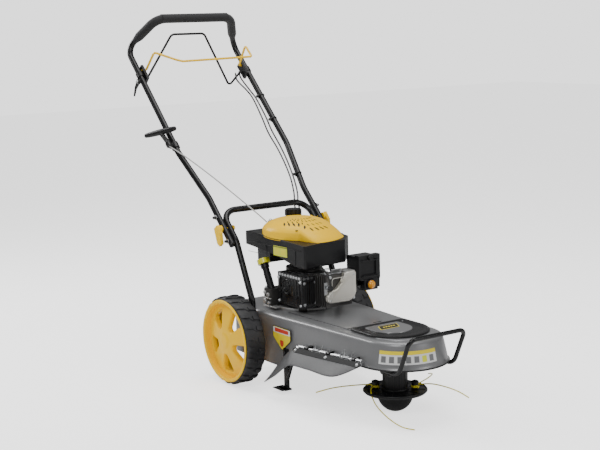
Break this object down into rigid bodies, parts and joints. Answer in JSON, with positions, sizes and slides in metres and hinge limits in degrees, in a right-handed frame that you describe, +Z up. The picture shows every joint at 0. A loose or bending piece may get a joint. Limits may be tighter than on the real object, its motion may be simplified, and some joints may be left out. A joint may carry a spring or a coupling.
{
  "type": "wheeled string mower",
  "caption": "Walk-behind wheeled string mower: engine on a wedge deck, belt-driven line head under the nose, side deflector, folding handle with control bails.",
  "frame": {"origin": "on the ground under the trimmer head's spindle, at the mow ball's flat", "axes": "+X forward, +Y to the operator's left, +Z up along the spindle"},
  "size_m": [1.5008, 0.5749, 1.2568],
  "materials": {
    "deck_paint": "metallic grey powder coat",
    "black_paint": "satin black powder coat",
    "foam": "matt foam sleeve",
    "engine_alloy": "cast, lightly textured",
    "cover_alloy": "satin, warm silver",
    "steel": "zinc plated",
    "shroud_plastic": "fine grained black",
    "yellow_plastic": "glossy deep yellow",
    "bright_yellow": "glossy lemon yellow",
    "amber": "translucent amber",
    "tyre": "moulded rubber",
    "line": "extruded nylon",
    "rope": "braided cord",
    "cable": "smooth sheath",
    "bail_yellow": "yellow dipped wire",
    "exhaust": "heat-stained steel",
    "belt": "fabric-backed rubber",
    "bush_plastic": "plain"
  },
  "bodies": {
    "chassis": {"deck_shell": "deck_paint", "belt_cover": "shroud_plastic", "nose_bumper": "black_paint", "axle": "steel", "axle_brackets": "black_paint", "hinge_brackets": "black_paint", "hinge_rod": "steel", "flap_springs": "steel", "rear_stand": "black_paint", "spindle_housing": "black_paint", "drive_belt": "belt", "chassis_bolts": "steel", "engine_block": "engine_alloy", "valve_cover": "cover_alloy", "blower_housing": "shroud_plastic", "recoil_cover": "yellow_plastic", "fuel_tank": "shroud_plastic", "muffler": "exhaust", "muffler_guard": "black_paint", "carburettor": "engine_alloy", "air_filter_box": "shroud_plastic", "oil_tube": "shroud_plastic", "lower_handle": "black_paint", "starter_rope": "rope", "lower_cables": "cable"},
    "side_deflector": {"deflector_flap": "deck_paint"},
    "fuel_cap": {"fuel_cap": "shroud_plastic"},
    "air_cleaner_lid": {"air_filter_cover": "shroud_plastic"},
    "primer": {"primer_bulb": "amber"},
    "oil_dipstick": {"dipstick": "bright_yellow"},
    "crank": {"crankshaft": "steel", "flywheel": "engine_alloy", "engine_pulley": "steel"},
    "recoil_reel": {"recoil_pulley": "bush_plastic"},
    "idler": {"idler_arm": "steel"},
    "trimmer_head": {"spindle_shaft": "steel", "spindle_pulley": "steel", "head_drum": "shroud_plastic", "head_disc": "shroud_plastic", "mow_ball": "shroud_plastic", "line_left": "line", "line_front": "line", "line_right": "line", "line_rear": "line"},
    "wheel_left": {"tyre_left": "tyre", "rim_left": "yellow_plastic", "bushes_left": "bush_plastic"},
    "wheel_right": {"tyre_right": "tyre", "rim_right": "yellow_plastic", "bushes_right": "bush_plastic"},
    "folding_handle": {"upper_handle": "black_paint", "foam_grip": "foam", "bail_housings": "shroud_plastic", "rope_guide": "black_paint", "upper_cables": "cable"},
    "clamp_levers": {"cam_levers": "yellow_plastic"},
    "throttle": {"throttle_lever": "shroud_plastic"},
    "engine_stop_bail": {"yellow_bail": "bail_yellow"},
    "head_drive_bail": {"black_bail": "black_paint"},
    "starter_grip": {"starter_handle": "shroud_plastic"}
  },
  "joints": [
    {"name": "wheel_left_spin", "type": "hinge", "parent": "chassis", "child": "wheel_left", "pos_m": [-0.588, 0, 0.1525], "axis": [0, 1, 0], "continuous": true},
    {"name": "wheel_right_spin", "type": "hinge", "parent": "chassis", "child": "wheel_right", "pos_m": [-0.588, 0, 0.1525], "axis": [0, 1, 0], "continuous": true},
    {"name": "head_spin", "type": "hinge", "parent": "chassis", "child": "trimmer_head", "pos_m": [0, 0, 0.1], "axis": [0, 0, 1], "continuous": true},
    {"name": "crank_spin", "type": "hinge", "parent": "chassis", "child": "crank", "pos_m": [-0.493, 0, 0.3], "axis": [0, 0, 1], "continuous": true},
    {"name": "idler_swing", "type": "hinge", "parent": "chassis", "child": "idler", "pos_m": [-0.228, -0.088, 0.21], "axis": [0, 0, -1], "range_deg": [0, 16]},
    {"name": "deflector_lift", "type": "hinge", "parent": "chassis", "child": "side_deflector", "pos_m": [-0.292, -0.176, 0.178], "axis": [-0.9977, -0.0523, -0.0436], "range_deg": [0, 60], "stiffness_Nm_per_rad": 1, "springref_deg": -28.65},
    {"name": "fuel_cap_turn", "type": "hinge", "parent": "chassis", "child": "fuel_cap", "pos_m": [-0.634, 0.056, 0.55], "axis": [0, 0, 1], "range_deg": [0, 90]},
    {"name": "air_cleaner_lid_open", "type": "hinge", "parent": "chassis", "child": "air_cleaner_lid", "pos_m": [-0.3127, 0.145, 0.354], "axis": [0, 1, 0], "range_deg": [0, 80]},
    {"name": "primer_press", "type": "slide", "parent": "chassis", "child": "primer", "axis": [-1, 0, 0], "range_m": [0, 0.006], "stiffness_N_per_m": 400, "springref_m": -0.003},
    {"name": "dipstick_turn", "type": "hinge", "parent": "chassis", "child": "oil_dipstick", "pos_m": [-0.533, -0.108, 0.318], "axis": [-0.454, 0, 0.891], "range_deg": [0, 90]},
    {"name": "handle_fold", "type": "hinge", "parent": "chassis", "child": "folding_handle", "pos_m": [-0.67994, 0, 0.51994], "axis": [0, 1, 0], "range_deg": [0, 110]},
    {"name": "clamp_lever_release", "type": "hinge", "parent": "folding_handle", "child": "clamp_levers", "pos_m": [-0.67994, 0, 0.51994], "axis": [0, 1, 0], "range_deg": [0, 60]},
    {"name": "throttle_set", "type": "hinge", "parent": "folding_handle", "child": "throttle", "pos_m": [-1.18128, -0.245, 1.01279], "axis": [0, 1, 0], "range_deg": [-25, 30]},
    {"name": "engine_stop_bail_squeeze", "type": "hinge", "parent": "folding_handle", "child": "engine_stop_bail", "pos_m": [-1.20249, 0, 1.0538], "axis": [0, -1, 0], "range_deg": [0, 40], "stiffness_Nm_per_rad": 1, "springref_deg": -28.65},
    {"name": "head_drive_bail_squeeze", "type": "hinge", "parent": "folding_handle", "child": "head_drive_bail", "pos_m": [-1.194, 0, 1.02835], "axis": [0, -1, 0], "range_deg": [0, 35], "stiffness_Nm_per_rad": 1.2, "springref_deg": -28.65},
    {"name": "starter_pull", "type": "slide", "parent": "folding_handle", "child": "starter_grip", "axis": [-0.8511, -0.3004, 0.4306], "range_m": [0, 0.55], "stiffness_N_per_m": 20, "springref_m": -0.5},
    {"name": "recoil_spin", "type": "hinge", "parent": "chassis", "child": "recoil_reel", "pos_m": [-0.493, 0, 0.49], "axis": [0, 0, 1], "range_deg": [0, 940]}
  ],
  "couplings": [
    {"joint": "crank_spin", "follows": "head_spin", "ratio": 1.4737},
    {"joint": "idler_swing", "follows": "head_drive_bail_squeeze", "ratio": 0.4571},
    {"joint": "recoil_spin", "follows": "starter_pull", "rad_per_m": 29.4}
  ]
}
